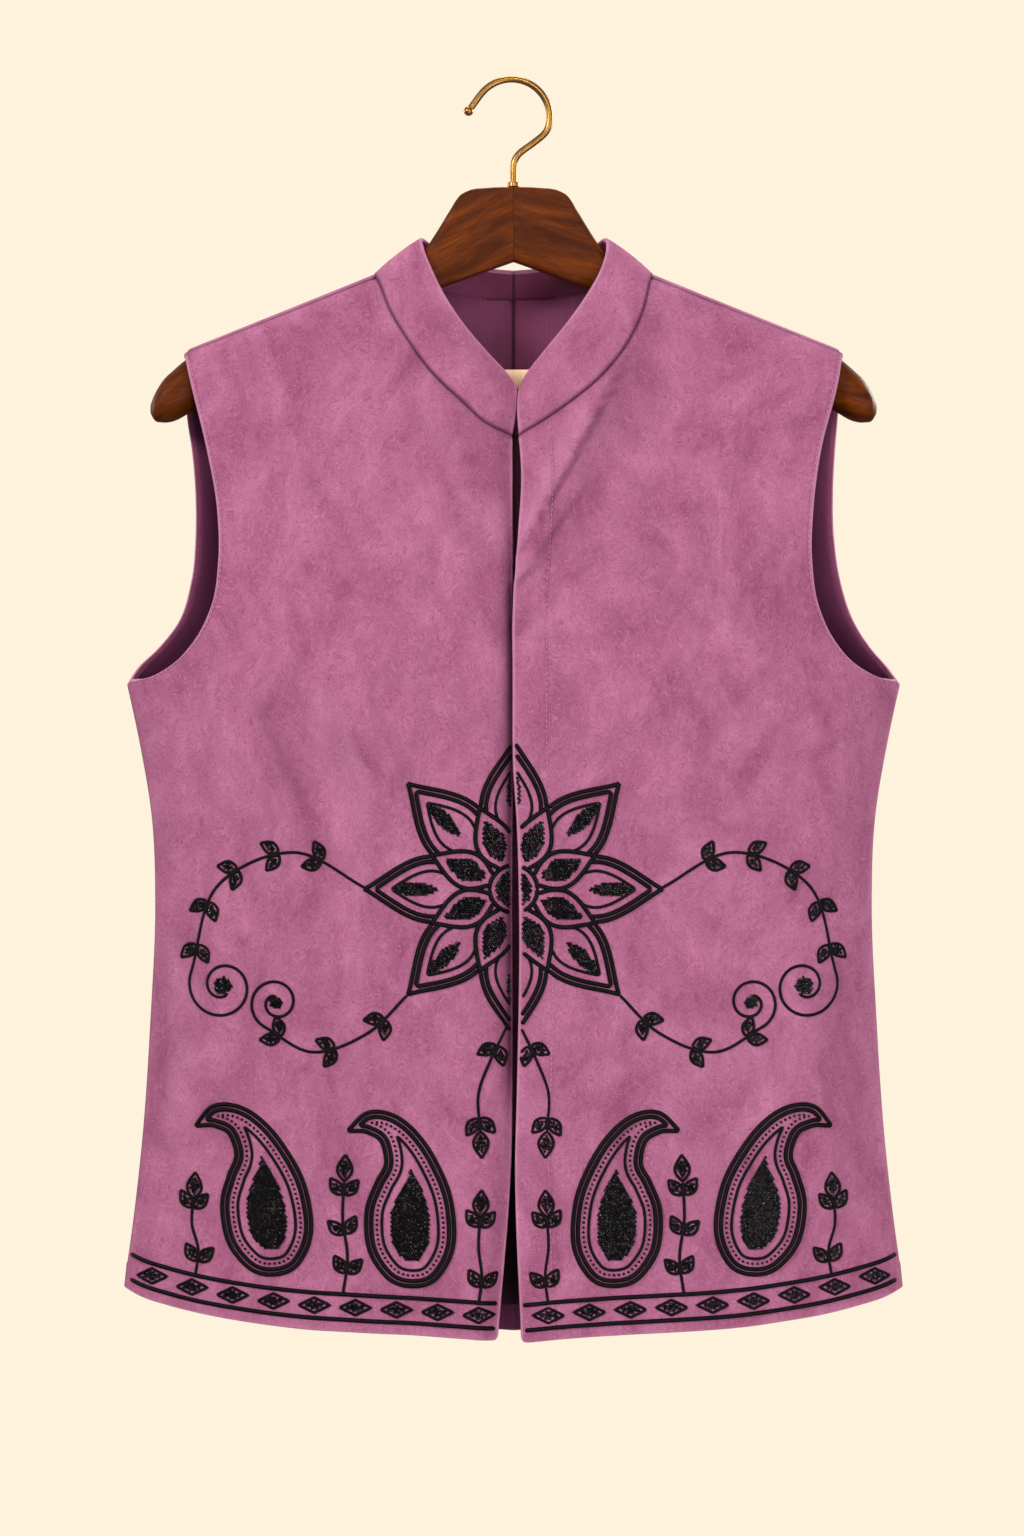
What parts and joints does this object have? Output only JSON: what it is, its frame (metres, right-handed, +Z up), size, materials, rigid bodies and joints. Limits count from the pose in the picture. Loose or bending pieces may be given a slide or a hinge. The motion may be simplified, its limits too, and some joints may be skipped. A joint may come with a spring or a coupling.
{
  "type": "nehru jacket on a wooden hanger",
  "caption": "Sleeveless stand-collar jacket in soft suede-like cloth with a hidden front closing and a curved hem, hung open-armed on a contoured wooden hanger with a ball-ended hook.",
  "frame": {"origin": "the point inside the top of the hook's arc where it rests on a rail", "axes": "+Z up, wearer's front toward -Y, wearer's left toward +X"},
  "size_m": [0.4986, 0.1074, 0.8069],
  "materials": {
    "suede": "matt mauve faux suede with a short nap",
    "lining": "smooth dark plum sateen lining",
    "walnut": "dark stained walnut, satin lacquer",
    "pale_wood": "pale natural wood, satin lacquer",
    "brass": "polished brass"
  },
  "bodies": {
    "root": {"front_left": "suede", "front_right": "suede", "front_right_underlap": "suede", "back_left": "suede", "back_right": "suede", "collar_left": "suede", "collar_right": "suede", "lining_back_left": "lining", "lining_back_right": "lining", "hanger_arm_left": "walnut", "hanger_arm_right": "walnut", "trouser_bar": "pale_wood", "hook": "brass", "ferrule": "brass"}
  },
  "joints": []
}
